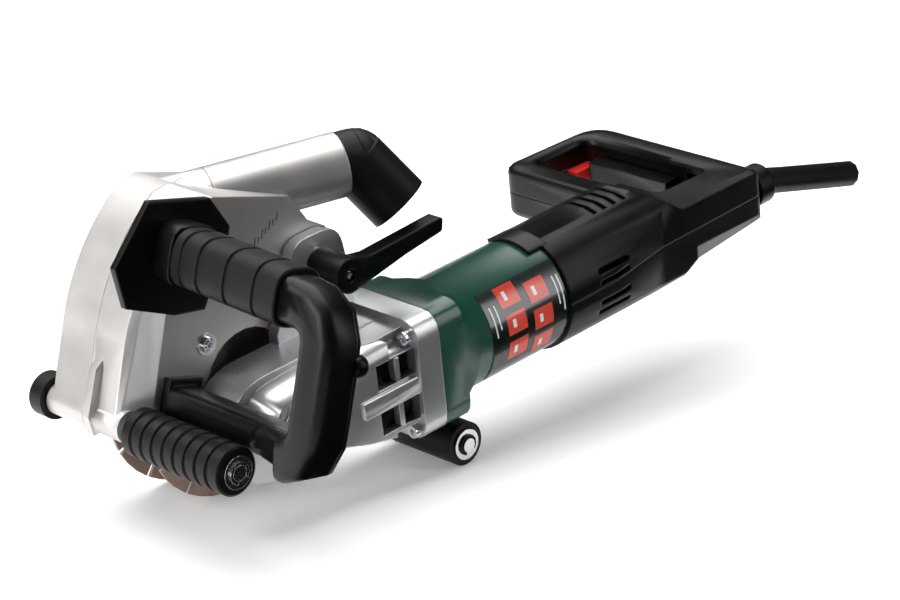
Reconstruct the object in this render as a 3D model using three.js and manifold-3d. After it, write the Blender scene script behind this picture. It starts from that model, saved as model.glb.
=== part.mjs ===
// Twin-disc wall chaser for 125 mm diamond discs, millimetres, +Z up.
// The tool stands on the rims of its two plunged discs and on its rear roller, nose raised.
// Two sets of parts swing against each other about the rear roller axle: the hood with its
// rollers and front handle, and the motor unit with the discs, the gearbox and the rear handle.
import * as THREE from 'three';
import { mergeVertices } from 'three/addons/utils/BufferGeometryUtils.js';
import Module from 'manifold-3d';

const wasm = await Module();
wasm.setup();

// ---------- driving dimensions ----------
const GAP = 0.3;                 // clearance between touching pieces
const DISC_R = 62.5;             // 125 mm discs
const DISC_X = 20;               // each disc's middle plane, from the middle of the pair
const HOOD_PITCH = 12.4;         // degrees, nose up
const MOTOR_PITCH = 7.5;         // degrees, tail up
const MOTOR_X = 67;              // motor axis, from the middle of the disc pair
const FAR_WALL = -38, NEAR_WALL = 38, SEAM = -5, WALL = 3.5;
const FRONT_AXLE = { y: -84, z: -8 };
const FRONT_R = 16, REAR_R = 15.3, AXLE_R = 5;
const deg = Math.PI / 180;
const REAR_Y_HOOD = 150.7;       // along the hood's base, the height follows from standing on the floor
const REAR_AXLE = {
  y: REAR_Y_HOOD,
  z: (REAR_R - DISC_R + REAR_Y_HOOD * Math.sin(HOOD_PITCH * deg)) / Math.cos(HOOD_PITCH * deg),
};
const CLAMP = { y: 40, z: 98 };  // depth clamp bolt, in the hood's frame
const BARREL_R = 41;

const root = new THREE.Group();
const hood = new THREE.Group();
hood.position.set(0, 0, DISC_R);
hood.rotation.x = -HOOD_PITCH * deg;
const motor = new THREE.Group();
motor.position.set(MOTOR_X, 0, DISC_R);
motor.rotation.x = MOTOR_PITCH * deg;
root.add(hood, motor);

const finish = {
  castAluminium: { color: 0xd9dadb, roughness: 0.45, metalness: 0.7 },
  blackPlastic: { color: 0x1d1d1f, roughness: 0.6, metalness: 0 },
  softBlack: { color: 0x161617, roughness: 0.85, metalness: 0 },
  greenPlastic: { color: 0x1d4a3d, roughness: 0.4, metalness: 0 },
  redPlastic: { color: 0xc8261c, roughness: 0.4, metalness: 0 },
  steel: { color: 0xa9abad, roughness: 0.3, metalness: 1 },
  zinc: { color: 0xe2e3e4, roughness: 0.25, metalness: 1 },
  discSteel: { color: 0x8d7d72, roughness: 0.6, metalness: 0.6 },
  copper: { color: 0xb0643a, roughness: 0.4, metalness: 1 },
  carbon: { color: 0x242424, roughness: 0.9, metalness: 0 },
};

// ---------- solids ----------
function solid(geometry) {
  const g = geometry.index ? geometry.toNonIndexed() : geometry.clone();
  g.deleteAttribute('normal');
  g.deleteAttribute('uv');
  const merged = mergeVertices(g, 1e-4);
  return new wasm.Manifold(new wasm.Mesh({
    numProp: 3,
    vertProperties: new Float32Array(merged.attributes.position.array),
    triVerts: new Uint32Array(merged.index.array),
  }));
}

function add(group, name, shape, look) {
  const mesh = shape.getMesh();
  const geometry = new THREE.BufferGeometry();
  geometry.setAttribute('position', new THREE.BufferAttribute(mesh.vertProperties, 3));
  geometry.setIndex(new THREE.BufferAttribute(mesh.triVerts, 1));
  geometry.computeVertexNormals();
  const piece = new THREE.Mesh(geometry, new THREE.MeshStandardMaterial(finish[look]));
  piece.name = name;
  group.add(piece);
}

const box = (x0, x1, y0, y1, z0, z1) => solid(new THREE.BoxGeometry(x1 - x0, y1 - y0, z1 - z0)
  .translate((x0 + x1) / 2, (y0 + y1) / 2, (z0 + z1) / 2));

const rodX = (x0, x1, r, y = 0, z = 0, n = 24, rEnd = r) => solid(
  new THREE.CylinderGeometry(rEnd, r, x1 - x0, n).rotateZ(-Math.PI / 2).translate((x0 + x1) / 2, y, z));

const rodY = (y0, y1, r, x = 0, z = 0, n = 24, rEnd = r) => solid(
  new THREE.CylinderGeometry(rEnd, r, y1 - y0, n).translate(x, (y0 + y1) / 2, z));

const ringX = (x0, x1, r, bore, y = 0, z = 0, n = 24) => (
  rodX(x0, x1, r, y, z, n).subtract(rodX(x0 - 1, x1 + 1, bore, y, z, n)));

const ringY = (y0, y1, r, bore, x = 0, z = 0, n = 24) => (
  rodY(y0, y1, r, x, z, n).subtract(rodY(y0 - 1, y1 + 1, bore, x, z, n)));

// A closed outline with each corner rounded to its own radius: [a, b, radius].
function outline(corners, steps = 5) {
  const points = [];
  corners.forEach(([a, b, r = 0], i) => {
    const here = new THREE.Vector2(a, b);
    if (r === 0) { points.push(here); return; }
    const [pa, pb] = corners[(i + corners.length - 1) % corners.length];
    const [na, nb] = corners[(i + 1) % corners.length];
    const toPrev = new THREE.Vector2(pa, pb).sub(here).normalize();
    const toNext = new THREE.Vector2(na, nb).sub(here).normalize();
    const half = Math.acos(THREE.MathUtils.clamp(toPrev.dot(toNext), -1, 1)) / 2;
    const reach = r / Math.tan(half);
    const start = here.clone().addScaledVector(toPrev, reach);
    const end = here.clone().addScaledVector(toNext, reach);
    const curve = new THREE.QuadraticBezierCurve(start, here, end);
    points.push(...curve.getPoints(steps));
  });
  return new THREE.Shape(points);
}

const extrude = (shape, depth) => new THREE.ExtrudeGeometry(shape,
  { depth, bevelEnabled: false, curveSegments: 5 });
// The same with its face edges rounded, inside the outline and the depth.
const softExtrude = (shape, depth, edge, segments = 2) => new THREE.ExtrudeGeometry(shape, {
  depth: depth - 2 * edge, bevelThickness: edge, bevelSize: edge, bevelOffset: -edge, bevelSegments: segments, curveSegments: 5,
}).translate(0, 0, edge);
// Outline in (y, z), thickness along x.
const plateX = (shape, x0, x1) => solid(extrude(shape, x1 - x0)
  .applyMatrix4(new THREE.Matrix4().makeBasis(
    new THREE.Vector3(0, 1, 0), new THREE.Vector3(0, 0, 1), new THREE.Vector3(1, 0, 0)))
  .translate(x0, 0, 0));
// Outline in (x, z), thickness along y.
const plateY = (shape, y0, y1) => solid(extrude(shape, y1 - y0).rotateX(Math.PI / 2).translate(0, y1, 0));
// Outline in (x, y), thickness along z.
const plateZ = (shape, z0, z1) => solid(extrude(shape, z1 - z0).translate(0, 0, z0));

// A round bar from one point to another.
function bar(from, to, r, n = 24) {
  const along = to.clone().sub(from);
  const turn = new THREE.Quaternion().setFromUnitVectors(new THREE.Vector3(0, 1, 0), along.clone().normalize());
  return solid(new THREE.CylinderGeometry(r, r, along.length(), n)
    .applyQuaternion(turn).translate(...from.clone().addScaledVector(along, 0.5).toArray()));
}

// ---------- hood: two cast halves around the discs ----------
const SPOUT_R = 22, SPOUT_BORE = 19;
const spoutEnd = new THREE.Vector3(28, 64.5, 160.2);
const spoutAxis = new THREE.Vector3(0.34, 0.88, 0.33).normalize();
const onSpout = (t) => spoutEnd.clone().addScaledVector(spoutAxis, t);

// Side outline of the hood, set in by the wall for its inside.
function hoodOutline(inset) {
  const rim = 146 - inset, centreY = 53, centreZ = 45;
  const shape = new THREE.Shape();
  shape.moveTo(-93 + inset, -6);
  shape.lineTo(-93 + inset, centreZ);
  shape.absarc(centreY, centreZ, rim, Math.PI, 142 * deg, true);
  shape.lineTo(-50 + inset * 0.3, 141 - inset);
  shape.lineTo(14.4 - inset * 0.1, 141.4 - inset);
  shape.lineTo(20.5 - inset * 0.4, 136.8 - inset * 0.9);
  shape.lineTo(34 - inset * 0.4, 126 - inset * 0.9);
  shape.lineTo(50 - inset * 0.4, 122 - inset);
  shape.lineTo(62 - inset * 0.7, 112 - inset * 0.7);
  shape.lineTo(72 - inset, 92 - inset * 0.3);
  shape.lineTo(78 - inset, 70);
  shape.lineTo(78 - inset, inset > 0 ? -30 : -16);
  shape.lineTo(-72, inset > 0 ? -30 : -16);
  return shape;
}
const nearCorner = (inset) => plateZ(new THREE.Shape([
  new THREE.Vector2(23 - inset * 0.4, -94), new THREE.Vector2(60, -94), new THREE.Vector2(60, -50),
  new THREE.Vector2(38.5 - inset, -50), new THREE.Vector2(38.5 - inset, -74 + inset * 0.4)]), -60, 108);
const SPOUT_START = -92;
const spoutHole = bar(onSpout(SPOUT_START), onSpout(30), SPOUT_R + GAP);
// The spout's fixed nose, cast with the roof of the two halves.
const spoutNose = bar(onSpout(-133), onSpout(SPOUT_START), SPOUT_R).intersect(box(FAR_WALL, NEAR_WALL, -47, 90, 119, 220));
const farSide = box(-60, SEAM - GAP / 2, -200, 200, -60, 240), nearSide = box(SEAM + GAP / 2, NEAR_WALL, -200, 200, -60, 240);
const axleTube = (x0, x1) => rodX(x0, x1, 11, FRONT_AXLE.y, FRONT_AXLE.z, 28);
const axleHole = rodX(-60, 60, AXLE_R + GAP, FRONT_AXLE.y, FRONT_AXLE.z, 24);
const hoodCavity = plateX(hoodOutline(4), FAR_WALL + WALL, NEAR_WALL - WALL)
  .subtract(nearCorner(4)).subtract(box(-60, 60, -96, -73.5, -40, 4.5));
const rearArm = (x0, x1) => plateX(outline([
  [55, 10, 4], [80, 10, 4], [REAR_AXLE.y + 9, REAR_AXLE.z + 11, 9],
  [REAR_AXLE.y + 11, REAR_AXLE.z - 10, 9], [REAR_AXLE.y - 8, REAR_AXLE.z - 10, 4], [55, -16, 4]], 3), x0, x1);
const rearAxleHole = rodX(-60, 60, AXLE_R + GAP, REAR_AXLE.y, REAR_AXLE.z, 24);

// Rib between the front axle's tube and the hood's nose.
const noseRib = plateX(new THREE.Shape([[-86, 34], [-93, 30], [-98, 24], [-99, -8], [-92, -20], [-80, -14]]
  .map(([y, z]) => new THREE.Vector2(y, z))), SEAM + 5, SEAM + 11);
const hoodBody = plateX(hoodOutline(0), FAR_WALL, SEAM - GAP / 2)
  .add(axleTube(-42, SEAM - GAP / 2)).add(rearArm(FAR_WALL, FAR_WALL + 4)).add(spoutNose.intersect(farSide))
  .subtract(hoodCavity).subtract(axleHole).subtract(rearAxleHole).subtract(spoutHole);
// The spout's bore leaves a loose sliver of roof, which goes with it.
const largest = (shape) => shape.decompose().sort((a, b) => b.volume() - a.volume())[0];
add(hood, 'hood_body', largest(hoodBody), 'castAluminium');

// The clamp bolt's slot is an arc about the rear axle, as long as the depth swing.
function clampSlot(halfWidth) {
  const dy = CLAMP.y - REAR_AXLE.y, dz = CLAMP.z - REAR_AXLE.z;
  const r = Math.hypot(dy, dz), a = Math.atan2(dz, dy);
  const from = a - 7.9 * deg, to = a + 3.7 * deg;
  const shape = new THREE.Shape();
  shape.absarc(REAR_AXLE.y, REAR_AXLE.z, r + halfWidth, from, to, false);
  shape.absarc(REAR_AXLE.y, REAR_AXLE.z, r - halfWidth, to, from, true);
  return plateX(shape, NEAR_WALL - WALL - 2, NEAR_WALL + 2);
}
const SPINDLE_WINDOW = 34;
const hoodCover = plateX(hoodOutline(0), SEAM + GAP / 2, NEAR_WALL)
  .subtract(nearCorner(0)).add(spoutNose.intersect(nearSide)).add(noseRib).add(axleTube(SEAM + GAP / 2, 30)).add(rearArm(NEAR_WALL - 4, NEAR_WALL))
  .subtract(hoodCavity).subtract(axleHole).subtract(rearAxleHole).subtract(spoutHole)
  .subtract(clampSlot(4.8))
  .subtract(rodX(NEAR_WALL - 9, NEAR_WALL + 2, SPINDLE_WINDOW, 2, 22))
  .subtract(box(NEAR_WALL - 9, NEAR_WALL + 2, 2 - SPINDLE_WINDOW, 2 + SPINDLE_WINDOW, -40, 22));
add(hood, 'hood_cover', largest(hoodCover), 'castAluminium');

const spout = bar(onSpout(SPOUT_START + GAP), onSpout(0), SPOUT_R).subtract(bar(onSpout(-150), onSpout(10), SPOUT_BORE));
add(hood, 'suction_spout', spout, 'castAluminium');

// Screws that hold the cover to the body, heads on the cover's near wall.
const screwHead = (x, r = 5) => (y, z) => rodX(x, x + 3, r, y, z, 20).subtract(rodX(x + 1.4, x + 4, 2.1, y, z, 6));
const coverScrews = [[-38, 46]];
coverScrews.forEach(([y, z], i) => add(hood, `cover_screw_${i + 1}`, screwHead(NEAR_WALL + GAP)(y, z), 'zinc'));

// ---------- suction elbow, turns on the spout ----------
const elbowCorner = onSpout(12);
const outletAxis = new THREE.Vector3(0.52, 0.604, -0.604).normalize();
const outlet = elbowCorner.clone().addScaledVector(outletAxis, 41);
const ELBOW_R = 21.4, ELBOW_BORE = 18.2;
const knee = (r) => solid(new THREE.SphereGeometry(r, 16, 8)).translate(elbowCorner.toArray());
const elbow = bar(onSpout(GAP), elbowCorner, ELBOW_R).add(knee(ELBOW_R)).add(bar(elbowCorner, outlet, ELBOW_R))
  .subtract(bar(onSpout(-60), onSpout(GAP), SPOUT_R + 1))
  .add(bar(onSpout(-14), onSpout(4), SPOUT_BORE - GAP))
  .subtract(bar(onSpout(-20), elbowCorner, ELBOW_BORE - 2)).subtract(knee(ELBOW_BORE - 2))
  .subtract(bar(elbowCorner, outlet.clone().addScaledVector(outletAxis, 5), ELBOW_BORE))
  .subtract(bar(onSpout(-30), onSpout(-14), SPOUT_BORE + 2));
add(hood, 'suction_elbow', elbow, 'softBlack');

// ---------- front axle, roller and wheel ----------
const { y: fy, z: fz } = FRONT_AXLE;
const FRONT_NEAR = 131, FRONT_FAR = -56;
add(hood, 'front_axle', rodX(FRONT_FAR - 1, FRONT_NEAR + 3, AXLE_R, fy, fz, 24), 'zinc');
// The roller's sleeve has grooves between its ribs.
function ribbedRoller(x0, x1, ribs) {
  const profile = [new THREE.Vector2(AXLE_R + GAP, x0)];
  const pitch = (x1 - x0) / ribs;
  for (let i = 0; i < ribs; i++) {
    const a = x0 + i * pitch, b = a + pitch;
    profile.push(new THREE.Vector2(FRONT_R - 1.2, a), new THREE.Vector2(FRONT_R, a + 1.2),
      new THREE.Vector2(FRONT_R, b - 1.2), new THREE.Vector2(FRONT_R - 1.2, b));
  }
  profile.push(new THREE.Vector2(AXLE_R + GAP, x1), profile[0].clone());
  return solid(new THREE.LatheGeometry(profile, 16).rotateZ(-Math.PI / 2).translate(0, fy, fz));
}
add(hood, 'front_roller', ribbedRoller(NEAR_WALL + 1, FRONT_NEAR, 8), 'softBlack');
add(hood, 'front_wheel', ringX(-55, -43, 15, AXLE_R + GAP, fy, fz, 28), 'softBlack');
const washer = (x, y, z) => ringX(x, x + 1.4, 10.8, AXLE_R + GAP, y, z);
// Retaining ring with its gap, in a plane across the axle.
function circlip(x, y, z) {
  const shape = new THREE.Shape();
  shape.absarc(y, z, 7.4, -20 * deg, 270 * deg, false);
  shape.absarc(y, z, AXLE_R + GAP, 270 * deg, -20 * deg, true);
  return plateX(shape, x, x + 1);
}
add(hood, 'front_washer', washer(FRONT_NEAR + GAP, fy, fz), 'zinc');
add(hood, 'front_circlip', circlip(FRONT_NEAR + 2, fy, fz), 'carbon');
add(hood, 'front_wheel_circlip', circlip(FRONT_FAR - 0.3, fy, fz), 'carbon');

// ---------- rear axle and roller ----------
const { y: ry, z: rz } = REAR_AXLE;
const REAR_NEAR = 99;
add(hood, 'rear_axle', rodX(-41, REAR_NEAR + 4, AXLE_R, ry, rz, 24), 'zinc');
add(hood, 'rear_roller', ringX(39, REAR_NEAR, REAR_R, AXLE_R + GAP, ry, rz), 'softBlack');
add(hood, 'rear_washer', washer(REAR_NEAR + GAP, ry, rz), 'zinc');
add(hood, 'rear_circlip', circlip(REAR_NEAR + 2, ry, rz), 'carbon');

// ---------- front D-handle ----------
const HANDLE_Y = -79;            // middle plane of its upper and outer bars
const GUARD_X = NEAR_WALL + GAP;
const guard = plateX(outline([[-125, 97], [-105, 139], [-57, 141.5], [-37, 123.5], [-37, 117],
  [-48, 70], [-72, 67], [-112, 72]]), GUARD_X, GUARD_X + 5)
  .subtract(rodX(GUARD_X - 1, GUARD_X + 6, 5.5, HANDLE_Y, 97, 16));
add(hood, 'handle_guard', guard, 'blackPlastic');
const HANDLE_X0 = GUARD_X + 5 + GAP, FRAME_R = 16.3, GRIP_R = 18.5, LOW_R = 10.5;
const at = (x, y, z) => new THREE.Vector3(x, y, z);
// A bar that follows a path of straight runs with a rounded corner between them.
function bentBar(points, bends, across, thick, round, steps) {
  const path = new THREE.CurvePath();
  let from = points[0];
  for (let i = 1; i < points.length; i++) {
    const bend = bends[i - 1] ?? 0;
    const toHere = points[i].clone().sub(points[i - 1]).normalize();
    const stop = points[i].clone().addScaledVector(toHere, -bend);
    path.add(new THREE.LineCurve3(from, stop));
    if (bend > 0) {
      const on = points[i + 1].clone().sub(points[i]).normalize();
      from = points[i].clone().addScaledVector(on, bend);
      path.add(new THREE.QuadraticBezierCurve3(stop, points[i], from));
    }
  }
  const section = outline([[-across, -thick, round], [across, -thick, round], [across, thick, round], [-across, thick, round]], 3);
  return solid(new THREE.ExtrudeGeometry(section, { steps, bevelEnabled: false, extrudePath: path }));
}
const gripZ = (x) => 109 - (x - HANDLE_X0) * 4.5 / 146;
const lowCorner = at(190, -79.5, 13);
const frame = bentBar([at(HANDLE_X0, HANDLE_Y, gripZ(HANDLE_X0)), at(190, -80, gripZ(190)), lowCorner, at(150, -74, 12)],
  [24, 20], 15, FRAME_R - 1.8, 8, 22)
  .subtract(box(100, 168, -120, -30, -30, 50));
const lowBar = bentBar([at(176, -76, 13), at(130, -58, 11.5), at(GUARD_X, -57, 10.5)], [14], LOW_R, 12, 6, 7)
  .add(box(GUARD_X, GUARD_X + 6, -69, -42, -6, 26));
const collar = bentBar([at(HANDLE_X0, HANDLE_Y, gripZ(HANDLE_X0)), at(60, HANDLE_Y, gripZ(60))], [], GRIP_R, GRIP_R + 0.8, 12, 1);
const HANDLE_PART = HANDLE_Y + 8; // parting plane of its two shells
const SLEEVE_X0 = 60 + GAP, SLEEVE_X1 = 156;
const gripRod = (x0, x1, across, thick, round) => bentBar([at(x0, HANDLE_Y, gripZ(x0)), at(x1, HANDLE_Y, gripZ(x1))], [], across, thick, round, 1);
const handle = frame.add(lowBar).add(collar)
  .subtract(gripRod(SLEEVE_X0 - GAP, SLEEVE_X1 + GAP, 26, 26, 4).subtract(gripRod(SLEEVE_X0 - 2, SLEEVE_X1 + 2, 14.5, 14.5, 8)))
  .intersect(box(GUARD_X, 260, -140, 0, -60, 180))
  .subtract(box(GUARD_X - 1, HANDLE_X0, -140, 0, 60, 180))
  .subtract(rodX(NEAR_WALL, FRONT_NEAR + 6, FRONT_R + 2.5, FRONT_AXLE.y, FRONT_AXLE.z, 28));
const frontHalf = box(0, 260, -140, HANDLE_PART - GAP / 2, -60, 180);
const rearHalf = box(0, 260, HANDLE_PART + GAP / 2, 0, -60, 180);
add(hood, 'handle_front_shell', handle.intersect(frontHalf), 'blackPlastic');
add(hood, 'handle_rear_shell', handle.intersect(rearHalf), 'blackPlastic');
// The soft sleeve sits in a recess round the upper bar.
add(hood, 'handle_sleeve', gripRod(SLEEVE_X0, SLEEVE_X1, GRIP_R - 0.5, GRIP_R, 12)
  .subtract(gripRod(SLEEVE_X0 - 1, SLEEVE_X1 + 1, 14.5 + GAP, 14.5 + GAP, 8)), 'softBlack');

// ---------- discs, spindle and gears (they turn about the x axis) ----------
function disc(x) {
  const teeth = 12, core = 2.4, slot = 3 * deg, arcSteps = 3, shape = new THREE.Shape();
  for (let i = 0; i < teeth; i++) {
    const a = i * 360 / teeth * deg, b = a + 360 / teeth * deg - slot;
    for (let k = 0; k <= arcSteps; k++) {
      const t = a + (b - a) * k / arcSteps;
      if (i + k === 0) shape.moveTo(DISC_R, 0);
      else shape.lineTo(DISC_R * Math.cos(t), DISC_R * Math.sin(t));
    }
    shape.lineTo(51 * Math.cos(b), 51 * Math.sin(b));
    shape.lineTo(51 * Math.cos(b + slot), 51 * Math.sin(b + slot));
  }
  return plateX(shape, x - core / 2, x + core / 2).subtract(rodX(x - 5, x + 5, 11.1 + GAP, 0, 0, 32));
}
const spin = new THREE.Group();
spin.position.set(0, 0, DISC_R);
root.add(spin);
add(spin, 'disc_far', disc(-DISC_X), 'discSteel');
add(spin, 'disc_near', disc(DISC_X), 'discSteel');
const ARBOR = 11.1;
add(spin, 'spindle', rodX(-34, -22.2, 7, 0, 0, 24).add(rodX(-22.2, 27, ARBOR, 0, 0, 32))
  .add(rodX(27, 97, 8, 0, 0, 24)), 'steel');
const SPACERS = 2;
const spacerLength = (2 * DISC_X - 2.4 - (SPACERS + 1) * GAP) / SPACERS;
for (let i = 0; i < SPACERS; i++) {
  const x = -DISC_X + 1.2 + GAP + i * (spacerLength + GAP);
  add(spin, `spacer_${i + 1}`, ringX(x, x + spacerLength, 20, ARBOR + GAP, 0, 0, 28), 'steel');
}
add(spin, 'inner_flange', ringX(DISC_X + 1.2 + GAP, 27, 21, ARBOR + GAP, 0, 0, 28), 'steel');
add(spin, 'clamp_nut', ringX(-33, -DISC_X - 1.2 - GAP - 1, 19, 7 + GAP, 0, 0, 28)
  .subtract(rodX(-36, -30, 2.5, 13, 0, 12)).subtract(rodX(-36, -30, 2.5, -13, 0, 12)), 'steel');

// A spur outline; the bevel gears' teeth are straight here.
function toothed(teeth, r, depth) {
  const points = [];
  for (let i = 0; i < teeth; i++) {
    [[0, r - depth], [0.3, r], [0.5, r], [0.8, r - depth]].forEach(([f, radius]) => {
      const a = (i + f) / teeth * 2 * Math.PI;
      points.push(new THREE.Vector2(radius * Math.cos(a), radius * Math.sin(a)));
    });
  }
  return new THREE.Shape(points);
}
const CROWN_TEETH = 34, PINION_TEETH = 11;
add(spin, 'crown_gear', plateX(toothed(CROWN_TEETH, 28, 3), MOTOR_X - 20, MOTOR_X - 11)
  .subtract(rodX(MOTOR_X - 30, MOTOR_X, 8 + GAP, 0, 0, 24)), 'steel');

// ---------- gear housing (motor frame: x across, y along the axis, z up) ----------
const HOUSE_X0 = -27, HOUSE_X1 = 36, FLANGE_Y = 104, MOUNT_Y = 114;
const houseSide = outline([[-37, 37, 35], [FLANGE_Y + 2, 38], [FLANGE_Y + 2, -39], [-37, -37, 35]], 8);
// The near half is a smaller snout that widens to the flange.
const snoutSide = outline([[-26, 30, 22], [30, 34], [FLANGE_Y + 2, 38], [FLANGE_Y + 2, -39], [50, -27], [14, -15], [-26, -13, 12]], 6);
const flangeShape = (grow) => outline([[-42 - grow, -43 - grow, 14], [42 + grow, -43 - grow, 14],
  [42 + grow, 43 + grow, 14], [-42 - grow, 43 + grow, 14]], 4);
const screwPlaces = [[-19, -36], [33, -36], [33, 32], [-19, 32]];
// The flange's lower far corner is cut off, clear of the hood's rear arm.
const armSide = box(-60, -27.6, 80, 150, -60, -8);
// Arm that carries the clamp bolt beside the hood's slot.
const armM = new THREE.Vector3(0, CLAMP.y, CLAMP.z)
  .applyAxisAngle(new THREE.Vector3(1, 0, 0), -(HOOD_PITCH + MOTOR_PITCH) * deg);
const ARM_X0 = NEAR_WALL + 0.8 - MOTOR_X, ARM_X1 = ARM_X0 + 9;
const arm = plateX(outline([[30, 30], [100, 30], [97, 48, 6], [armM.y + 25, armM.z - 8, 14],
  [armM.y + 21, armM.z + 22, 18], [armM.y - 21, armM.z + 22, 18], [armM.y - 26, armM.z - 8, 14], [30, 44]], 6),
ARM_X0, ARM_X1);
let gearHousing = plateX(houseSide, HOUSE_X0, 6).add(plateX(snoutSide, 0, HOUSE_X1))
  .add(plateY(flangeShape(0), FLANGE_Y, MOUNT_Y).subtract(armSide))
  .add(plateY(flangeShape(0), FLANGE_Y - 9.5, FLANGE_Y + 1).intersect(box(-27.6, 60, 80, 120, -60, 60)))
  .add(rodX(ARM_X0 + 1 - 8, HOUSE_X0, 27, 0, 0, 36))
  .add(rodX(HOUSE_X1, HOUSE_X1 + 2, 26, 0, 0, 32))
  .add(arm)
  .subtract(rodX(HOUSE_X0 + 5, 1, 31, 0, 0, 32)).subtract(rodX(0, HOUSE_X1 - 5, 15, 0, 0, 24))
  .subtract(rodY(0, MOUNT_Y + 2, 18.5, 0, 0, 32))
  .subtract(rodX(HOUSE_X1 - 6, HOUSE_X1 - 1, 13.3, 0, 0, 24))
  .subtract(rodX(ARM_X0 - 9, HOUSE_X0 + 6, 17.3, 0, 0, 32))
  .subtract(rodX(ARM_X0 - 1, ARM_X1 + 1, 4.5, armM.y, armM.z, 20))
  .subtract(rodX(HOUSE_X1 - 9, HOUSE_X1 + 4, 3.4, 16, 16, 16));
for (const [x, z] of screwPlaces) {
  gearHousing = gearHousing.subtract(rodY(74, FLANGE_Y - 9.5, 7.5, x, z, 16)).subtract(rodY(90, MOUNT_Y + 1, 2.8, x, z, 12));
}
// Exhaust windows on the near side, either side of a level rib.
for (const [low, high] of [[6, 24], [-26, -8]]) {
  gearHousing = gearHousing.subtract(box(HOUSE_X1 - 9, HOUSE_X1 + 1, 62, 96, low, high));
}
gearHousing = gearHousing.add(box(HOUSE_X1 - 3, HOUSE_X1 + 4, 46, FLANGE_Y + 1, -7, 4));
add(motor, 'gear_housing', gearHousing, 'castAluminium');
screwPlaces.forEach(([x, z], i) => add(motor, `gear_screw_${i + 1}`,
  rodY(89.5, FLANGE_Y - 9.8, 4.6, x, z, 16).subtract(rodY(88, 92, 2.2, x, z, 6)), 'zinc'));
const BEARING_X0 = ARM_X0 - 7 + 1;
add(motor, 'bearing_cover', ringX(BEARING_X0 - 3.4, BEARING_X0 - 1.3, 26, 12, 0, 0, 32), 'castAluminium');
add(motor, 'spindle_bearing_far', ringX(BEARING_X0, BEARING_X0 + 9, 17, 8 + GAP, 0, 0, 28), 'steel');
add(motor, 'spindle_bearing_near', ringX(HOUSE_X1 - 5.6, HOUSE_X1 - 1.4, 13, 8 + GAP, 0, 0, 24), 'steel');
add(motor, 'pinion_bearing', ringY(52, 64, 18.2, 6 + GAP, 0, 0, 28), 'steel');
add(motor, 'spindle_lock', rodX(HOUSE_X1 - 4, HOUSE_X1 + 10.5, 3, 16, 16, 16).add(rodX(HOUSE_X1 + 5.5, HOUSE_X1 + 10.5, 7, 16, 16, 20)),
  'blackPlastic');

// ---------- armature (turns about the motor axis) ----------
add(motor, 'armature_shaft', rodY(34, 262, 6, 0, 0, 20), 'steel');
add(motor, 'pinion', solid(extrude(toothed(PINION_TEETH, 9.5, 2), 22).rotateX(Math.PI / 2).translate(0, 33.5, 0)), 'steel');
function fan() {
  let body = ringY(122, 125, 33, 6 + GAP, 0, 0, 28).add(ringY(125, 134, 10, 6 + GAP, 0, 0, 20));
  for (let i = 0; i < 9; i++) {
    body = body.add(solid(new THREE.BoxGeometry(1.6, 10, 24).translate(0, 129, 20.5).rotateY(i * 40 * deg)));
  }
  return body;
}
add(motor, 'fan', fan(), 'blackPlastic');
add(motor, 'armature_core', ringY(150, 205, 24, 6 + GAP, 0, 0, 28), 'steel');
add(motor, 'commutator', ringY(213, 236, 14, 6 + GAP, 0, 0, 24), 'copper');
add(motor, 'rear_bearing', ringY(250, 260, 11, 6 + GAP, 0, 0, 24), 'steel');
add(motor, 'stator', ringY(148, 208, 36.5, 25.5, 0, 0, 32), 'steel');
[[1, 'near'], [-1, 'far']].forEach(([side, word]) => add(motor, `brush_${word}`,
  box(side > 0 ? 14.6 : -33, side > 0 ? 33 : -14.6, 219, 231, -5, 5), 'carbon'));

// ---------- green motor housing ----------
const motorHousing = plateY(flangeShape(0), MOUNT_Y + GAP, 136)
  .add(solid(new THREE.CylinderGeometry(BARREL_R, BARREL_R + 8, 16, 40).translate(0, 143, 0))
    .intersect(plateY(flangeShape(0), 130, 152)))
  .subtract(armSide)
  .add(rodY(MOUNT_Y + GAP, 237, BARREL_R, 0, 0, 40))
  .subtract(rodY(MOUNT_Y - 1, 240, 37, 0, 0, 36));
add(motor, 'motor_housing', motorHousing, 'greenPlastic');

// ---------- black rear housing and closed rear handle, two shells ----------
const SHELL_Y = 237 + GAP, REAR_Y = 457, HANDLE_HALF = 20;
const plan = outline([[-43, SHELL_Y], [43, SHELL_Y], [43, 285], [33, 345], [32, REAR_Y, 8], [-43, REAR_Y]], 4);
const side = outline([[SHELL_Y, 43], [336, 43, 10], [366, HANDLE_HALF + 1, 8], [REAR_Y, HANDLE_HALF - 1, 8],
  [REAR_Y, -19, 6], [292, -41, 16], [262, -43], [SHELL_Y, -43]], 4);
// Behind the barrel its lower corners are cut off.
const cut = outline([[-60, 60], [60, 60], [60, 4], [35, -9], [21, -34], [-21, -34], [-35, -9], [-60, 4]], 1);
const full = outline([[-60, 60], [60, 60], [60, -30], [52, -40], [30, -52], [-30, -52], [-52, -40], [-60, -30]], 1);
const chin = wasm.Manifold.hull([plateY(full, 303, 304), plateY(cut, 380, 381)]).add(plateY(cut, 380, 470)).add(box(-60, 60, 200, 303.5, -60, 60));
const barrel = plateZ(plan, -60, 60).intersect(plateX(side, -60, 60)).intersect(rodY(200, 470, 43.5, 0, 0, 40)).intersect(chin);
const LOOP_FAR = -138, LOOP_FRONT = 358;
const gapShape = outline([[-1, 380, 8], [-1, 435, 8], [-123, 436, 12], [-123, 378, 10], [-60, 378, 8]], 4);
const loopGap = plateZ(gapShape, -60, 60);
const loopShape = outline([[32, REAR_Y, 8], [LOOP_FAR + 4, REAR_Y + 2, 24], [LOOP_FAR, LOOP_FRONT, 14], [20, LOOP_FRONT]], 5);
loopShape.holes.push(new THREE.Path(gapShape.getPoints(4)));
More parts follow.
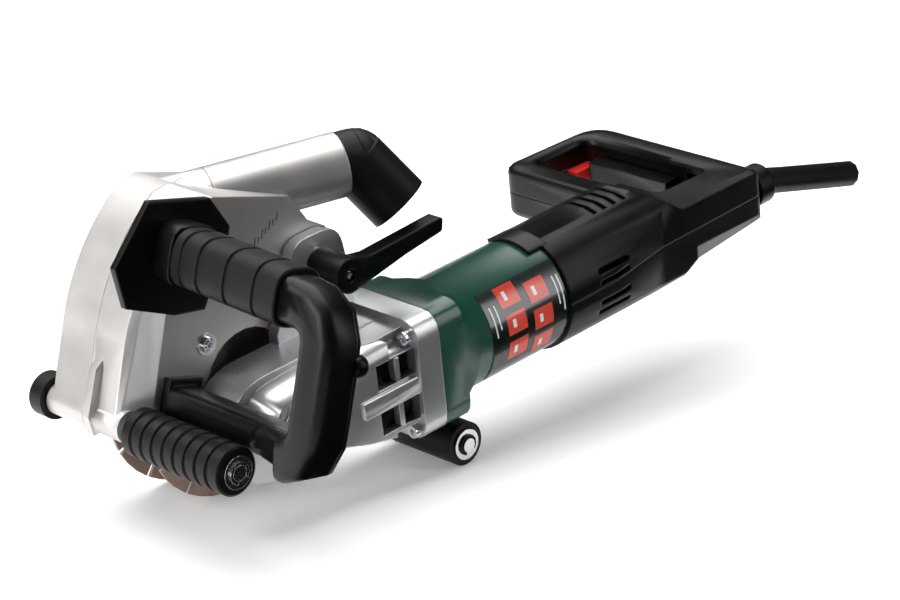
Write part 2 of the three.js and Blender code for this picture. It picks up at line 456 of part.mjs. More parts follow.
const handleLoop = solid(softExtrude(loopShape, 2 * HANDLE_HALF, 5.5, 3).translate(0, 0, -HANDLE_HALF));
const tongue = ringY(224, SHELL_Y + 4, 43.8, BARREL_R + GAP, 0, 0, 44)
  .intersect(plateY(outline([[-34, 70], [0, -4], [34, 70]], 1), 200, 260));
const motorBay = rodY(230, 300, 38.5, 0, 0, 36).add(rodY(299, 338, 33, 0, 0, 36, 22))
  .add(box(-22, 22, 330, 449, -11, 13))
  .add(box(-118, 10, 440, 452, -14, 14));
let shells = barrel.add(handleLoop).subtract(loopGap).add(tongue).subtract(motorBay)
  .subtract(box(-108, -30, 432, 442, -9.5, 7.5))
  .subtract(box(-121, -110.3, 424, 442, -10.3, 1.3))
  .subtract(rodY(445, 470, 11, 16, 0, 24));
// Cooling slots on both flanks and on top.
for (const z of [-19, -11, 4, 12]) shells = shells.subtract(box(34, 60, 268, 300, z - 2, z + 2));
for (const z of [-19, -11, 4, 12]) shells = shells.subtract(box(-60, -34, 268, 300, z - 2, z + 2));
for (const y of [296, 306, 316, 326]) shells = shells.subtract(box(-16, 16, y - 2, y + 2, 34, 60));
add(motor, 'rear_shell_upper', shells.intersect(box(-200, 100, 200, 500, GAP / 2, 80)), 'blackPlastic');
add(motor, 'rear_shell_lower', shells.intersect(box(-200, 100, 200, 500, -80, -GAP / 2)), 'blackPlastic');
add(motor, 'grip_inlay', plateZ(outline([[-104, REAR_Y + 2.4], [-1, REAR_Y + 0.6], [-1, REAR_Y + 2.6], [-104, REAR_Y + 4.4]], 1), -11, 14),
  'softBlack');

// ---------- switch ----------
add(motor, 'trigger', box(-107, -31, 421, 437, -9, 7).subtract(box(-95, -43, 433, 440, -6, 4)), 'blackPlastic');
add(motor, 'lock_button', box(-120.6, -110.8, 411, 439, -10, 1), 'redPlastic');
add(motor, 'switch_body', box(-95, -45, 441, 451, -11, 11), 'carbon');

// ---------- cord gland and bend sleeve ----------
const GLAND_X = 16;
add(motor, 'cord_gland', ringY(REAR_Y + 0.4, REAR_Y + 15, 15.3, 10.4, GLAND_X, 0, 28), 'blackPlastic');
const sleeveRing = new THREE.Shape().absarc(0, 0, 10, 0, 2 * Math.PI);
sleeveRing.holes.push(new THREE.Path().absarc(0, 0, 4.9, 0, 2 * Math.PI, true));
const DROOP = 16.5 * deg;
const sleevePath = new THREE.CatmullRomCurve3([0, 12, 24, 40, 80, 131].map((t) => new THREE.Vector3(
  GLAND_X, REAR_Y - 6 + (t < 24 ? t : 24 + (t - 24) * Math.cos(DROOP)),
  t < 24 ? 0 : -(t - 24) * Math.sin(DROOP))));
add(motor, 'bend_sleeve', solid(new THREE.ExtrudeGeometry(sleeveRing,
  { steps: 9, curveSegments: 5, bevelEnabled: false, extrudePath: sleevePath })), 'softBlack');

// ---------- depth clamp ----------
const CX = armM.y, CZ = armM.z, LEVER_X = ARM_X1;
add(motor, 'clamp_bolt', rodX(ARM_X0 - 12, ARM_X0 - 5.2, 6, CX, CZ, 6)
  .add(rodX(ARM_X0 - 6, LEVER_X + 14, 4, CX, CZ, 20)), 'steel');
add(motor, 'clamp_washer', ringX(LEVER_X + GAP, LEVER_X + 2.3, 12, 4.4, CX, CZ, 28), 'zinc');
const leverArm = plateX(outline([[CX - 4, CZ - 11, 6], [CX + 10, CZ - 11, 4], [CX + 50, CZ - 4], [CX + 84, CZ, 3], [CX + 86, CZ + 10, 3], [CX + 20, CZ + 7], [CX - 4, CZ + 11, 6]], 4),
  LEVER_X + 19, LEVER_X + 30);
add(motor, 'clamp_lever', rodX(LEVER_X + 2.6, LEVER_X + 31, 13, CX, CZ, 32, 12).add(leverArm)
  .subtract(rodX(LEVER_X, LEVER_X + 15, 4.4, CX, CZ, 20)).subtract(rodX(LEVER_X + 27, LEVER_X + 40, 4.2, CX, CZ, 20)), 'blackPlastic');

// ---------- origin under the middle of the tool's box ----------
const extent = new THREE.Box3().setFromObject(root, true);
const middle = extent.getCenter(new THREE.Vector3());
root.position.set(-middle.x, -middle.y, -extent.min.z);

export default root;
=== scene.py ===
import math

import bpy
from mathutils import Matrix, Vector


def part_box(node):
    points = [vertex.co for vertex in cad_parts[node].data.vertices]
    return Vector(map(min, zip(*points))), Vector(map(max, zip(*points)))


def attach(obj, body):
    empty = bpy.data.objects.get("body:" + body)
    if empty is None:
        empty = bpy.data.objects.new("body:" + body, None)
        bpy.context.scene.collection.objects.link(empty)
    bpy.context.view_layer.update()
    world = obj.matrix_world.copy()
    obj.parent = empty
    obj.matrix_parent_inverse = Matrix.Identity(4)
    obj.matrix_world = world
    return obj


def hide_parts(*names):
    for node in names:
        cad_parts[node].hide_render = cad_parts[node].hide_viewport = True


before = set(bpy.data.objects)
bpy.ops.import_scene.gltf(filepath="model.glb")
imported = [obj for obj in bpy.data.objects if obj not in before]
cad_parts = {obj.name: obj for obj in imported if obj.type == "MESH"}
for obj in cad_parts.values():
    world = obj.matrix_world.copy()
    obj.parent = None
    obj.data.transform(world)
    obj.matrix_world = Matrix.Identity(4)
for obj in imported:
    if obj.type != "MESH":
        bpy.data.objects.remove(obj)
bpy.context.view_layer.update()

# Camera and studio.
# A long lens on a stand looks down at the tool's disc side, in a white cove
# with one big soft light over it and two strip lights for the edges.
far_disc, near_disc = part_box("disc_far"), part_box("disc_near")
disc_centre = Vector(((far_disc[0].x + near_disc[1].x) / 2,
                      (near_disc[0].y + near_disc[1].y) / 2,
                      (near_disc[0].z + near_disc[1].z) / 2))
floor_point = Vector((disc_centre.x, disc_centre.y, 0))
stand = bpy.data.cameras.new("long_lens")
stand.lens, stand.sensor_width = 112, 36
stand.clip_start, stand.clip_end = 0.05, 50
camera = bpy.data.objects.new("camera", stand)
bpy.context.scene.collection.objects.link(camera)
turn, tilt = math.radians(45), math.radians(19.5)
back = Vector((math.sin(turn) * math.cos(tilt), -math.cos(turn) * math.cos(tilt), math.sin(tilt)))
stand_off = Vector((1.3187, -1.0903, 0.7319))
camera.location = floor_point + stand_off
camera.rotation_mode = "QUATERNION"
camera.rotation_quaternion = (-back).to_track_quat("-Z", "Y")
bpy.context.scene.camera = camera
bpy.context.scene.view_settings.view_transform = "Standard"


def srgb(code):
    """A hex colour as the linear colour that a shader socket takes."""
    parts = [int(code[i:i + 2], 16) / 255 for i in (1, 3, 5)]
    return [p / 12.92 if p <= 0.04045 else ((p + 0.055) / 1.055) ** 2.4 for p in parts] + [1.0]


def add_node(made, kind, settings=None, links=None):
    """Adds one node to a material's tree, sets its values and sockets, and links its inputs."""
    tree = made.node_tree
    new = tree.nodes.new(kind)
    for key, value in (settings or {}).items():
        if isinstance(key, str) and hasattr(new, key):
            setattr(new, key, value)
        else:
            new.inputs[key].default_value = value
    for key, (other, out) in (links or {}).items():
        tree.links.new(other.outputs[out], new.inputs[key])
    return new


def new_material(name, settings):
    """A material with an output and one Principled shader set to the given values."""
    made = bpy.data.materials.new(name)
    made.use_nodes = True
    made.node_tree.nodes.clear()
    shader = add_node(made, "ShaderNodeBsdfPrincipled", settings)
    add_node(made, "ShaderNodeOutputMaterial", {}, {"Surface": (shader, 0)})
    return made, shader


def two_tone(made, source, low, high):
    """A ramp between two colours, driven by the first output of a texture node."""
    ramp = add_node(made, "ShaderNodeValToRGB", {}, {"Fac": (source, 0)})
    ramp.color_ramp.elements[0].color, ramp.color_ramp.elements[1].color = low, high
    return ramp


def soft_light(name, place, aim, size, power):
    """A white rectangular lamp at a place, turned to an aim, both in metres from the floor point."""
    lamp = bpy.data.lights.new(name, "AREA")
    lamp.shape, lamp.size, lamp.size_y = "RECTANGLE", size[0], size[1]
    lamp.energy = power
    held = bpy.data.objects.new(name, lamp)
    bpy.context.scene.collection.objects.link(held)
    held.location = floor_point + Vector(place)
    held.rotation_mode = "QUATERNION"
    held.rotation_quaternion = (floor_point + Vector(aim) - held.location).to_track_quat("-Z", "Y")


soft_light("overhead_box", (-0.5, 0.2, 1.9), (0.0, 0.15, 0.1), (3.0, 2.4), 78)
soft_light("left_strip", (-0.5, -1.7, 0.9), (0.0, 0.1, 0.1), (0.7, 1.4), 24)
soft_light("right_strip", (1.5, 1.3, 0.9), (0.05, 0.3, 0.1), (0.3, 1.4), 7)
# The cove is white above and on the side of the nose, and darkens away from there.
world = bpy.data.worlds.new("white_cove")
world.use_nodes = True
cove_light = world.node_tree.nodes["Background"]
outward = add_node(world, "ShaderNodeTexCoord")
bright_side = (-0.62, -0.45, 0.64)
to_left = add_node(world, "ShaderNodeVectorMath", {"operation": "DOT_PRODUCT", 1: bright_side},
                   {0: (outward, "Generated")})
wash = add_node(world, "ShaderNodeMapRange",
                {"From Min": -0.35, "From Max": 0.75, "To Min": 0.1, "To Max": 1.25},
                {"Value": (to_left, "Value")})
world.node_tree.links.new(wash.outputs[0], cove_light.inputs["Strength"])
bpy.context.scene.world = world

bpy.ops.object.select_all(action="DESELECT")
bpy.ops.mesh.primitive_plane_add(size=9, location=(0, 0, 0))
cove = bpy.context.object
cove.name = "cove_floor"
# Matt white background paper: flat, with the faintest tone in its pulp.
paper, shader = new_material("background_paper_matt", {
    "Roughness": 0.95, "Specular IOR Level": 0.1,
    "Emission Color": srgb("#ffffff"), "Emission Strength": 0.22})
spot = add_node(paper, "ShaderNodeTexCoord")
pulp = add_node(paper, "ShaderNodeTexNoise", {"Scale": 6.0}, {"Vector": (spot, "Object")})
tone = two_tone(paper, pulp, srgb("#fbfbfb"), srgb("#ffffff"))
paper.node_tree.links.new(tone.outputs[0], shader.inputs["Base Color"])
cove.data.materials.append(paper)

# A matt black card lies on the floor on the front handle's side. Only reflections show
# it, so it darkens the near walls and the undersides.
bpy.ops.object.select_all(action="DESELECT")
bpy.ops.mesh.primitive_plane_add(size=2.0, location=floor_point + Vector((1.16, 0.75, 0.001)))
card = bpy.context.object
card.name = "black_card"
card.visible_camera = card.visible_shadow = card.visible_diffuse = False
felt, shader = new_material("card_felt_black", {"Roughness": 1.0, "Specular IOR Level": 0.0})
spot = add_node(felt, "ShaderNodeTexCoord")
nap = add_node(felt, "ShaderNodeTexNoise", {"Scale": 40.0}, {"Vector": (spot, "Object")})
tone = two_tone(felt, nap, srgb("#0c0c0c"), srgb("#1c1c1c"))
felt.node_tree.links.new(tone.outputs[0], shader.inputs["Base Color"])
card.data.materials.append(felt)

# The tool's two halves, in millimetres from the disc centre: the hood leans nose-up and
# the motor unit tail-up. The barrel's axis stands out from the discs towards the camera's side.
hood_lean, motor_lean, barrel_out = math.radians(-12.4), math.radians(7.5), 0.067
millimetres = Matrix.Scale(0.001, 4)
hood_place = Matrix.Translation(disc_centre) @ Matrix.Rotation(hood_lean, 4, "X") @ millimetres
motor_place = (Matrix.Translation(disc_centre + Vector((barrel_out, 0, 0)))
               @ Matrix.Rotation(motor_lean, 4, "X") @ millimetres)


# Cast hood, its cover, the spout and the gear housing.
# Die-cast aluminium, bead blasted: pale grey, with a fine grain from the blasting and
# edges rounded by about 1.2 mm where the die halves end.
def cast_aluminium(name, colour, rough):
    made, shader = new_material(name,
                                {"Metallic": 0.85, "Roughness": rough, "Base Color": srgb(colour)})
    at = add_node(made, "ShaderNodeTexCoord")
    # 1.4 mm blasting grain, drawn coarse so that it shows
    grain = add_node(made, "ShaderNodeTexNoise", {"Scale": 700.0, "Detail": 4.0},
                     {"Vector": (at, "Object")})
    cloud = add_node(made, "ShaderNodeTexNoise", {"Scale": 22.0, "Detail": 3.0},
                     {"Vector": (at, "Object")})
    shade = two_tone(made, cloud, [c * 0.86 for c in srgb(colour)[:3]] + [1], srgb(colour))
    shade.color_ramp.elements[0].position, shade.color_ramp.elements[1].position = 0.3, 0.7
    dull = add_node(made, "ShaderNodeMapRange", {"To Min": rough - 0.07, "To Max": rough + 0.1},
                    {"Value": (cloud, 0)})
    round_edge = add_node(made, "ShaderNodeBevel", {"samples": 6, "Radius": 0.0012})
    bump = add_node(made, "ShaderNodeBump", {"Strength": 0.16, "Distance": 0.0004},
                    {"Height": (grain, 0), "Normal": (round_edge, 0)})
    made.node_tree.links.new(shade.outputs[0], shader.inputs["Base Color"])
    made.node_tree.links.new(dull.outputs[0], shader.inputs["Roughness"])
    made.node_tree.links.new(bump.outputs[0], shader.inputs["Normal"])
    return made


hood_metal = cast_aluminium("die_cast_aluminium_blasted", "#cfccca", 0.42)
house_metal = cast_aluminium("die_cast_aluminium_bright", "#d3d4d6", 0.3)


def worked_copy(node, piece, body, finish, smooth=32):
    """A merged copy of a CAD node that stands for it, ready to be worked on, riding on its body."""
    bpy.ops.object.select_all(action="DESELECT")
    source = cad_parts[node]
    copy = bpy.data.objects.new(piece, source.data.copy())
    bpy.context.scene.collection.objects.link(copy)
    copy.select_set(True)
    bpy.context.view_layer.objects.active = copy
    bpy.ops.object.mode_set(mode="EDIT")
    bpy.ops.mesh.select_all(action="SELECT")
    bpy.ops.mesh.remove_doubles(threshold=0.00001)
    bpy.ops.mesh.dissolve_limited(angle_limit=math.radians(0.8))
    bpy.ops.object.mode_set(mode="OBJECT")
    bpy.ops.object.shade_smooth_by_angle(angle=math.radians(smooth))
    dress(copy, finish)
    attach(copy, body)
    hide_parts(node)
    return copy


def dress(thing, finish):
    """Gives a piece one finish all over."""
    thing.data.materials.clear()
    thing.data.materials.append(finish)


for node in ("hood_body", "hood_cover"):
    worked_copy(node, node + "_cast", "hood", hood_metal)
worked_copy("suction_spout", "suction_spout_tube", "hood", hood_metal)
worked_copy("gear_housing", "gear_housing_cast", "motor_unit", house_metal)
worked_copy("bearing_cover", "bearing_cover_cast", "motor_unit", house_metal)


# Black structural plastic: handles, rear housing, guard and lever.
# Glass-filled nylon, injection moulded in a spark-eroded die: a fine even texture
# that turns highlights grey, and edges with a small moulded radius.
def moulded_black(name, colour, rough, edge, depth):
    made, shader = new_material(name,
                                {"Roughness": rough, "Specular IOR Level": 0.24, "Base Color": srgb(colour)})
    at = add_node(made, "ShaderNodeTexCoord")
    # 0.9 mm spark-erosion texture, drawn coarse so that it shows
    grain = add_node(made, "ShaderNodeTexVoronoi", {"Scale": 1100.0}, {"Vector": (at, "Object")})
    cloud = add_node(made, "ShaderNodeTexNoise", {"Scale": 30.0, "Detail": 4.0},
                     {"Vector": (at, "Object")})
    shade = two_tone(made, cloud, [c * 0.8 for c in srgb(colour)[:3]] + [1],
                     [c * 1.25 for c in srgb(colour)[:3]] + [1])
    dull = add_node(made, "ShaderNodeMapRange", {"To Min": rough - 0.08, "To Max": rough + 0.08},
                    {"Value": (cloud, 0)})
    round_edge = add_node(made, "ShaderNodeBevel", {"samples": 6, "Radius": edge})
    bump = add_node(made, "ShaderNodeBump", {"Strength": depth, "Distance": 0.0002},
                    {"Height": (grain, 0), "Normal": (round_edge, 0)})
    made.node_tree.links.new(shade.outputs[0], shader.inputs["Base Color"])
    made.node_tree.links.new(dull.outputs[0], shader.inputs["Roughness"])
    made.node_tree.links.new(bump.outputs[0], shader.inputs["Normal"])
    return made


nylon = moulded_black("glass_filled_nylon_moulded", "#060607", 0.34, 0.0024, 0.25)
soft_grip = moulded_black("tpe_overmould_matt", "#060607", 0.5, 0.001, 0.3)
hard_rubber = moulded_black("roller_rubber_moulded", "#0b0b0b", 0.45, 0.0008, 0.3)
for node in ("handle_guard", "handle_front_shell", "handle_rear_shell"):
    worked_copy(node, node + "_moulded", "hood", nylon, 40)
for node in ("rear_shell_upper", "rear_shell_lower", "cord_gland"):
    worked_copy(node, node + "_moulded", "motor_unit", nylon, 30)
worked_copy("trigger", "trigger_paddle", "trigger", nylon)
worked_copy("clamp_lever", "clamp_lever_moulded", "clamp_lever", nylon)
worked_copy("spindle_lock", "spindle_lock_button", "spindle_lock", nylon)
worked_copy("suction_elbow", "suction_elbow_moulded", "elbow", soft_grip, 40)
worked_copy("grip_inlay", "grip_inlay_soft", "motor_unit", soft_grip)
worked_copy("bend_sleeve", "bend_sleeve_rubber", "motor_unit", soft_grip, 50)
worked_copy("front_wheel", "front_wheel_rubber", "front_wheel", hard_rubber)
worked_copy("rear_roller", "rear_roller_rubber", "rear_roller", hard_rubber)


def finish_piece(name, place, body, finish, replaced=(), smooth=35):
    """Puts the piece just made in its place, gives it its finish and hangs it on its body."""
    thing = bpy.context.object
    thing.name = name
    thing.data.transform(place)
    thing.matrix_world = Matrix.Identity(4)
    bpy.ops.object.select_all(action="DESELECT")
    thing.select_set(True)
    bpy.context.view_layer.objects.active = thing
    bpy.ops.object.mode_set(mode="EDIT")
    bpy.ops.mesh.select_all(action="SELECT")
    bpy.ops.mesh.remove_doubles(threshold=0.000005)
    bpy.ops.mesh.normals_make_consistent(inside=False)
    bpy.ops.object.mode_set(mode="OBJECT")
    bpy.ops.object.shade_smooth_by_angle(angle=math.radians(smooth))
    dress(thing, finish)
    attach(thing, body)
    if replaced:
        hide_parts(*replaced)
    return thing


def turned(rings, sides=64):
    """A turned solid along +Z: a disc extruded from ring to ring, each as (height, radius)."""
    bpy.ops.object.select_all(action="DESELECT")
    bpy.ops.mesh.primitive_circle_add(vertices=sides, radius=rings[0][1], fill_type="NGON",
                                      location=(0, 0, 0))
    thing = bpy.context.object
    thing.data.transform(Matrix.Translation((0, 0, rings[0][0])))
    bpy.ops.object.mode_set(mode="EDIT")
    bpy.ops.mesh.select_all(action="SELECT")
    for (z0, r0), (z1, r1) in zip(rings, rings[1:]):
        bpy.ops.mesh.extrude_region_move(TRANSFORM_OT_translate={"value": (0, 0, z1 - z0)})
        bpy.ops.transform.resize(value=(r1 / r0, r1 / r0, 1), center_override=(0, 0, z1))
    bpy.ops.object.mode_set(mode="OBJECT")
    return thing


# Soft sleeve on the front handle's upper bar.
# Thermoplastic rubber moulded over the nylon bar, with shallow ring grooves
# where the fingers part, and a rolled edge at each end.
def squared(thing, power):
    """Moves a turned solid's rings from round towards square, as a soft grip's section is."""
    for v in thing.data.vertices:
        r = math.hypot(v.co.x, v.co.y)
        if r > 0.1:
            c, s = abs(v.co.x / r), abs(v.co.y / r)
            grow = (c ** power + s ** power) ** (-1 / power)
            v.co.x, v.co.y = v.co.x * grow, v.co.y * grow


along_x = Matrix(((0, 0, 1, 0), (0, 1, 0, 0), (-1, 0, 0, 0), (0, 0, 0, 1)))
grip = [(60.5, 15.5), (60.5, 17.8), (61.6, 18.7)]  # (distance along the bar, radius)
for groove in (70, 86, 111, 137):
    grip += [(groove - 1.6, 18.7), (groove - 0.9, 17.5), (groove + 0.9, 17.5), (groove + 1.6, 18.7)]
grip += [(154.8, 18.6), (155.8, 17.6), (155.8, 15.5)]
squared(turned(grip, 80), 2.9)
bar_lean = Matrix.Rotation(math.radians(1.76), 4, "Y")
bar_place = hood_place @ Matrix.Translation((0, -79, 110.35)) @ bar_lean
finish_piece("handle_sleeve_grooved", bar_place @ along_x, "hood", soft_grip,
             ["handle_sleeve"])

# Front roller.
# Hard rubber, moulded with nine ribs parted by eight narrow grooves, running on the
# front axle behind a washer and a retaining ring.
ribs = [(39.2, 6.0), (39.2, 14.6), (40.2, 15.9)]
roller_start, roller_length, rib_count = 39, 92, 9
for i in range(1, rib_count):
    at = roller_start + roller_length * i / rib_count
    ribs += [(at - 1.9, 16.0), (at - 1.1, 14.6), (at + 1.1, 14.6), (at + 1.9, 16.0)]
ribs += [(129.8, 15.9), (130.8, 14.6), (130.8, 6.0)]
turned(ribs)
finish_piece("front_roller_ribbed", hood_place @ Matrix.Translation((0, -84, -8)) @ along_x,
             "front_roller", hard_rubber, ["front_roller"])


# Axles, washers, screws, retaining rings and the inner parts.
# The outer ones are free-cutting steel, turned and bright zinc plated: shiny, faintly
# blue, with uneven marks about 4 mm across. Most rings are blued, the inner parts ground.
def plated(name, colour, rough):
    made, shader = new_material(name,
                                {"Metallic": 1.0, "Roughness": rough, "Base Color": srgb(colour)})
    at = add_node(made, "ShaderNodeTexCoord")
    marks = add_node(made, "ShaderNodeTexNoise", {"Scale": 260.0, "Detail": 3.0},
                     {"Vector": (at, "Object")})
    dull = add_node(made, "ShaderNodeMapRange", {"To Min": rough - 0.06, "To Max": rough + 0.1},
                    {"Value": (marks, 0)})
    round_edge = add_node(made, "ShaderNodeBevel", {"samples": 4, "Radius": 0.0004})
    bump = add_node(made, "ShaderNodeBump", {"Strength": 0.08, "Distance": 0.0002},
                    {"Height": (marks, 0), "Normal": (round_edge, 0)})
    made.node_tree.links.new(dull.outputs[0], shader.inputs["Roughness"])
    made.node_tree.links.new(bump.outputs[0], shader.inputs["Normal"])
    return made


zinc = plated("steel_zinc_plated", "#e6e7ea", 0.2)
ground_steel = plated("steel_ground", "#a9abae", 0.3)
blued = plated("spring_steel_blued", "#202124", 0.35)
copper = plated("copper_turned", "#b5683c", 0.35)
for node in ("front_axle", "front_washer", "rear_axle", "rear_washer", "cover_screw_1"):
    worked_copy(node, node + "_plated", "hood", zinc)
for node in ("gear_screw_1", "gear_screw_2", "gear_screw_3", "gear_screw_4", "clamp_washer"):
    worked_copy(node, node + "_plated", "motor_unit", zinc)
# The ring at the ribbed roller's near end is plated like its washer, the others are blued.
worked_copy("front_circlip", "front_circlip_plated", "hood", zinc)
for node in ("front_wheel_circlip", "rear_circlip"):
    worked_copy(node, node + "_blued", "hood", blued)
for node, body in (("spindle", "spindle"), ("spacer_1", "spindle"), ("spacer_2", "spindle"),
                   ("inner_flange", "spindle"), ("clamp_nut", "spindle"), ("crown_gear", "spindle"),
                   ("armature_shaft", "armature"), ("pinion", "armature"), ("armature_core", "armature"),
                   ("stator", "motor_unit"), ("spindle_bearing_far", "motor_unit"),
                   ("spindle_bearing_near", "motor_unit"), ("pinion_bearing", "motor_unit"),
                   ("rear_bearing", "motor_unit"), ("clamp_bolt", "motor_unit")):
    worked_copy(node, node + "_ground", body, ground_steel)
worked_copy("commutator", "commutator_turned", "armature", copper)
worked_copy("fan", "fan_moulded", "armature", nylon)
for node in ("brush_near", "brush_far", "switch_body"):
    worked_copy(node, node + "_block", "motor_unit", soft_grip)

# Diamond discs.
# A steel core with a sintered rim of bronze and diamond grit, cut into segments: the
# core is satin grey, and the rim, beyond about 51 mm, is brown-grey and coarse.
rim, shader = new_material("sintered_bronze_diamond_rim", {"Metallic": 0.7, "Roughness": 0.5})
at = add_node(rim, "ShaderNodeTexCoord")
centred = add_node(rim, "ShaderNodeMapping", {"Location": -disc_centre}, {"Vector": (at, "Object")})
flat = add_node(rim, "ShaderNodeVectorMath", {"operation": "MULTIPLY", 1: (0, 1, 1)},
                {0: (centred, 0)})
away = add_node(rim, "ShaderNodeVectorMath", {"operation": "LENGTH"}, {0: (flat, 0)})
share = add_node(rim, "ShaderNodeMapRange", {"From Min": 0.05, "From Max": 0.0522},
                 {"Value": (away, "Value")})
grit = add_node(rim, "ShaderNodeTexNoise", {"Scale": 900.0, "Detail": 5.0},
                {"Vector": (at, "Object")})
core_tone = two_tone(rim, grit, srgb("#827a75"), srgb("#aaa39e"))
rim_tone = two_tone(rim, grit, srgb("#77645a"), srgb("#c0a899"))
both = add_node(rim, "ShaderNodeMix", {"data_type": "RGBA"})
rim.node_tree.links.new(share.outputs[0], both.inputs[0])
rim.node_tree.links.new(core_tone.outputs[0], both.inputs[6])
rim.node_tree.links.new(rim_tone.outputs[0], both.inputs[7])
rim.node_tree.links.new(both.outputs[2], shader.inputs["Base Color"])
bump = add_node(rim, "ShaderNodeBump", {"Strength": 0.5, "Distance": 0.0003}, {"Height": (grit, 0)})
rim.node_tree.links.new(bump.outputs[0], shader.inputs["Normal"])
for node in ("disc_far", "disc_near"):
    worked_copy(node, node + "_diamond", "spindle", rim)

# Motor housing.
# Glass-filled nylon coloured deep green, moulded in a polished die, so the barrel
# carries long soft highlights.
green, shader = new_material("nylon_green_moulded", {
    "Roughness": 0.3, "Coat Weight": 0.25, "Coat Roughness": 0.2})
at = add_node(green, "ShaderNodeTexCoord")
cloud = add_node(green, "ShaderNodeTexNoise", {"Scale": 18.0, "Detail": 3.0},
                 {"Vector": (at, "Object")})
shade = two_tone(green, cloud, srgb("#0f3c31"), srgb("#164c3e"))
fine = add_node(green, "ShaderNodeTexNoise", {"Scale": 900.0, "Detail": 2.0},
                {"Vector": (at, "Object")})
round_edge = add_node(green, "ShaderNodeBevel", {"samples": 4, "Radius": 0.0012})
bump = add_node(green, "ShaderNodeBump", {"Strength": 0.06, "Distance": 0.0002},
                {"Height": (fine, 0), "Normal": (round_edge, 0)})
green.node_tree.links.new(shade.outputs[0], shader.inputs["Base Color"])
green.node_tree.links.new(bump.outputs[0], shader.inputs["Normal"])
worked_copy("motor_housing", "motor_housing_moulded", "motor_unit", green)

# Rating label on the barrel.
# A printed polyester film stuck round the near side: a dark band with plain red
# squares and pale bars in it, with no lettering.
def film(name, low, high, rough):
    made, shader = new_material(name,
                                {"Roughness": rough, "Coat Weight": 0.6, "Coat Roughness": 0.12})
    at = add_node(made, "ShaderNodeTexCoord")
    ink = add_node(made, "ShaderNodeTexNoise", {"Scale": 45.0, "Detail": 2.0},
                   {"Vector": (at, "Object")})
    shade = two_tone(made, ink, srgb(low), srgb(high))
    made.node_tree.links.new(shade.outputs[0], shader.inputs["Base Color"])
    return made


dark_film = film("label_film_dark", "#05110d", "#081813", 0.3)
red_film = film("label_film_red", "#c43220", "#d63c26", 0.34)
pale_film = film("label_film_pale", "#c9d2ce", "#dfe6e3", 0.4)


def stuck_on(name, start, end, low, high, radius, thick, finish):
    """A film patch round the barrel, from start to end along it and low to high degrees round it."""
    bpy.ops.object.select_all(action="DESELECT")
    bpy.ops.mesh.primitive_grid_add(x_subdivisions=2, y_subdivisions=max(2, int((high - low) / 2)),
                                    size=1, location=(0, 0, 0))
    patch = bpy.context.object
    for v in patch.data.vertices:
        along = start + (v.co.x + 0.5) * (end - start)
        round_ = math.radians(low + (v.co.y + 0.5) * (high - low))
        v.co = Vector((radius * math.cos(round_), along, radius * math.sin(round_)))
    wall = patch.modifiers.new("film", "SOLIDIFY")
    wall.thickness, wall.offset = thick, 0
    bpy.ops.object.modifier_apply(modifier="film")
    finish_piece(name, motor_place, "motor_unit", finish)


band_radius, square_radius, mark_radius = 41.15, 41.3, 41.42
stuck_on("label_band", 163, 238, -47, 50, band_radius, 0.2, dark_film)
squares = [(178, 196, 27, 48), (203, 221, 19, 40), (178, 196, 0, 20), (203, 221, -8, 12),
           (178, 196, -27, -7), (203, 221, -35, -15)]
for i, (s0, s1, low_side, high_side) in enumerate(squares):
    stuck_on("label_square_%d" % (i + 1), s0, s1, low_side, high_side, square_radius, 0.2, red_film)
    stuck_on("label_mark_%d" % (i + 1), s0 + 5, s0 + 8, low_side + 6, high_side - 6,
             mark_radius, 0.1, pale_film)
bars = [(167, 4, 34), (171.5, 10, 34), (228, 6, 34), (232, -2, 34)]
for i, (s0, low_side, high_side) in enumerate(bars):
    stuck_on("label_bar_%d" % (i + 1), s0, s0 + 1.2, low_side, high_side, mark_radius, 0.1, pale_film)


# Vent inserts and fins of the gear housing.
# Each insert is a black nylon block pressed in from inside as painted shade: it makes the back of a window
# dark.
# A cast fin stands upright in front of it.
def block(x0, x1, y0, y1, z0, z1, edge):
    """A block with its edges rounded by a bevel, between two corners in millimetres."""
    bpy.ops.object.select_all(action="DESELECT")
    bpy.ops.mesh.primitive_cube_add(size=1, location=(0, 0, 0))
    made = bpy.context.object
    made.data.transform(Matrix.Translation(((x0 + x1) / 2, (y0 + y1) / 2, (z0 + z1) / 2))
                        @ Matrix.Diagonal((x1 - x0, y1 - y0, z1 - z0, 1)))
    bpy.ops.object.mode_set(mode="EDIT")
    bpy.ops.mesh.select_all(action="SELECT")
    bpy.ops.mesh.bevel(offset=edge, segments=3, affect="EDGES")
    bpy.ops.object.mode_set(mode="OBJECT")
    return made


for i, (low_side, high_side) in enumerate(((6, 24), (-26, -8))):
    # painted shade: a black block darkens the back of each vent window
    block(27.4, 29.5, 62.5, 95.5, low_side + 0.5, high_side - 0.5, 0.6)
    finish_piece("vent_shade_block_%d" % (i + 1), motor_place, "motor_unit", nylon)
    block(29.5, 36.6, 78, 82, low_side + 0.3, high_side - 0.3, 0.8)
    finish_piece("vent_fin_%d" % (i + 1), motor_place, "motor_unit", house_metal)

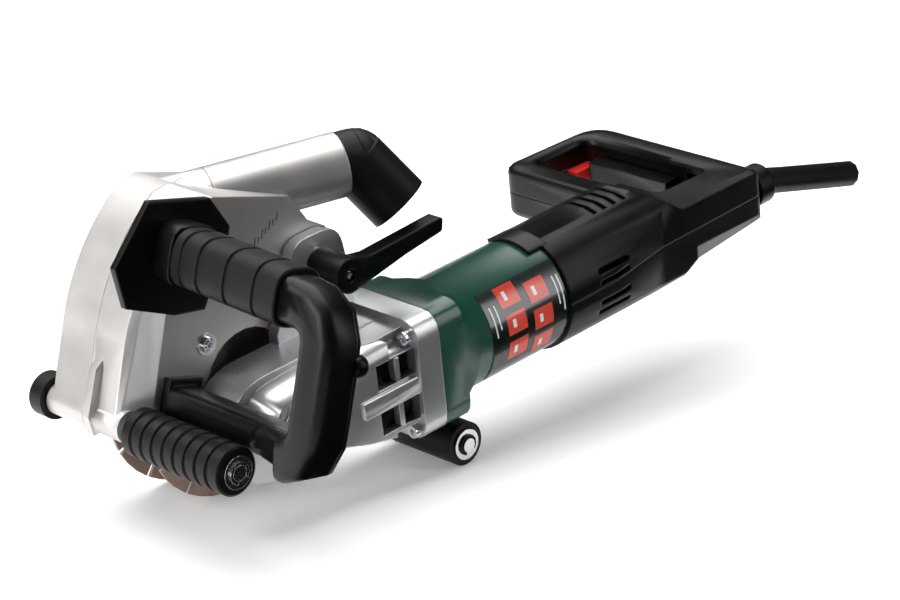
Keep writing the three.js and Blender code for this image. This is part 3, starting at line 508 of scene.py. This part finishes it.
# Screw in the clamp lever's hub.
# A zinc plated pan-head screw with a round recess, sunk in the hub's outer end.
turned([(0, 1.5), (0, 3.9), (1.2, 3.9), (2.4, 2.9), (2.4, 1.5), (1.2, 1.4)], 24)
lever_low, lever_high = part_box("clamp_lever")
washer_low, washer_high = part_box("clamp_washer")
hub_middle = (washer_low + washer_high) / 2
hub = Matrix.Translation((lever_high.x - 0.0038, hub_middle.y, hub_middle.z))
finish_piece("clamp_lever_screw", hub @ millimetres @ along_x, "clamp_lever", zinc)

# Depth scale beside the clamp.
# Short black nylon marks set in the cover's wall, about 4 mm apart, every other one longer.
for i in range(7):
    y, z = -9 + i * 2.6, 108 + i * 2.9
    block(37.9, 38.15, y - 0.35, y + 0.35, z, z + (6 if i % 2 == 0 else 4), 0.05)
    finish_piece("depth_mark_%d" % (i + 1), hood_place, "hood", nylon)

# Lock-on button.
# Red acetal, moulded glossy, that slides in the rear handle's opening.
red, shader = new_material("acetal_red_moulded", {"Roughness": 0.32, "Specular IOR Level": 0.5})
at = add_node(red, "ShaderNodeTexCoord")
cloud = add_node(red, "ShaderNodeTexNoise", {"Scale": 60.0}, {"Vector": (at, "Object")})
shade = two_tone(red, cloud, srgb("#b81f16"), srgb("#d2291e"))
round_edge = add_node(red, "ShaderNodeBevel", {"samples": 4, "Radius": 0.001})
red.node_tree.links.new(shade.outputs[0], shader.inputs["Base Color"])
red.node_tree.links.new(round_edge.outputs[0], shader.inputs["Normal"])
worked_copy("lock_button", "lock_button_red", "lock_button", red)

# Knob on the front handle's outer bar.
# Black nylon, turned to a rounded drum, fixed to the bar's rear side.
turned([(0, 4), (0, 6), (2, 7), (7, 7), (9, 6), (10.5, 4.5), (10.5, 3)], 32)
upright = Matrix.Rotation(math.radians(-90), 4, "X")
finish_piece("guard_knob", hood_place @ Matrix.Translation((201, -72, 75)) @ upright,
             "hood", nylon)

# Washer and screw head on the cover.
# One zinc plated turned piece on the cover's near wall: a flat washer with a domed head on it.
turned([(0, 3), (0, 7.5), (1.2, 7.5), (1.2, 4.4), (3.2, 4.2), (4, 3.2), (4, 1.8), (2.2, 1.6)], 40)
finish_piece("cover_screw_washer", hood_place @ Matrix.Translation((37.9, -38, 46)) @ along_x,
             "hood", zinc)
